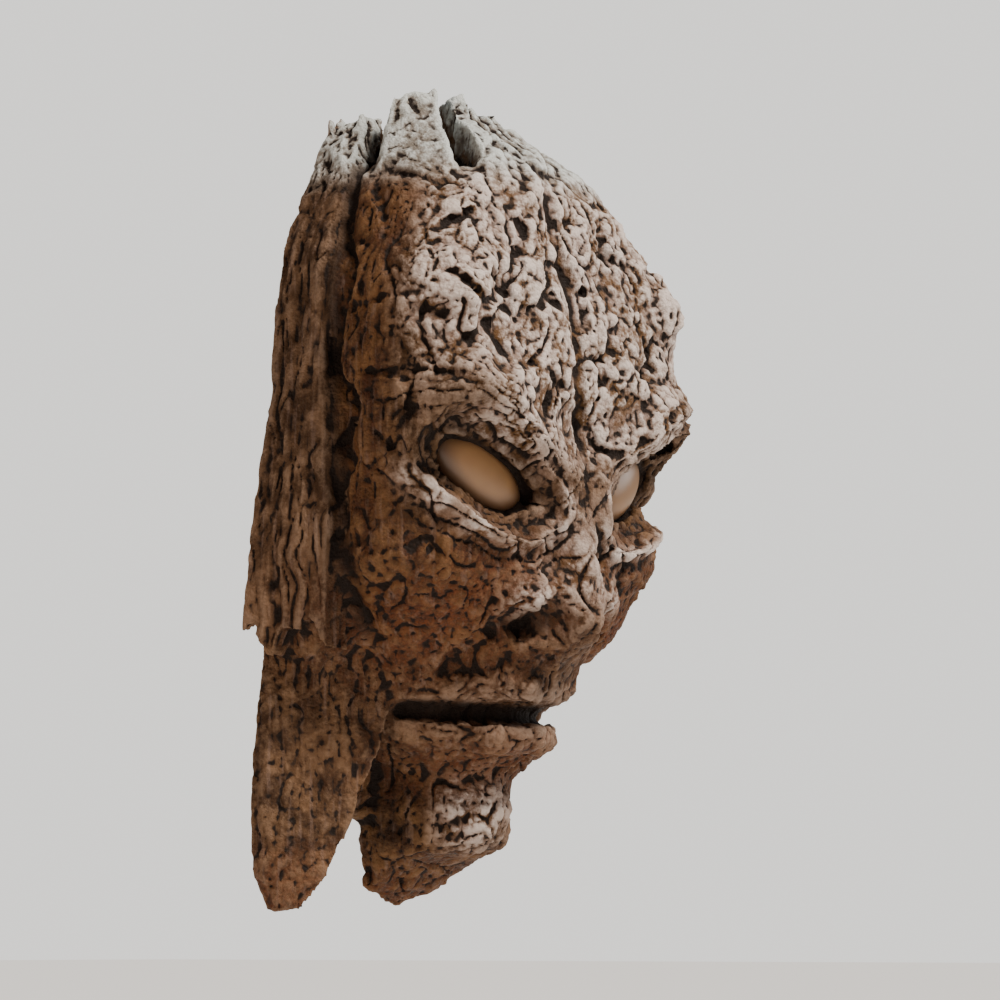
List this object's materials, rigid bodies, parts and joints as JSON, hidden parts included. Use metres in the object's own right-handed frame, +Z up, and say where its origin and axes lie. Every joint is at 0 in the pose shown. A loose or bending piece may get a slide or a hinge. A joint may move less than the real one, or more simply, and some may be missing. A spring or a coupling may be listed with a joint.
{
  "type": "tree face sculpture",
  "caption": "Gnarled bark face cast in resin, hollow behind, with a broken crown, bark strips down its sides and smooth amber eyes, made to be fixed to a trunk or a wall.",
  "frame": {"origin": "on the flat land at the top of the back, where the face is fixed to its trunk or wall", "axes": "+Z up the face, -Y the way the face looks, +Y out of the flat back, +X towards the face's own left"},
  "size_m": [0.2362, 0.1196, 0.3892],
  "materials": {
    "painted_bark": "cast resin painted as bark: brown washed into the cracks, silver grey dry brushed over the high points",
    "amber_lens": "smooth cast resin, amber, satin to glossy"
  },
  "bodies": {
    "root": {"face_bark": "painted_bark", "right_eye": "amber_lens", "left_eye": "amber_lens"}
  },
  "joints": []
}
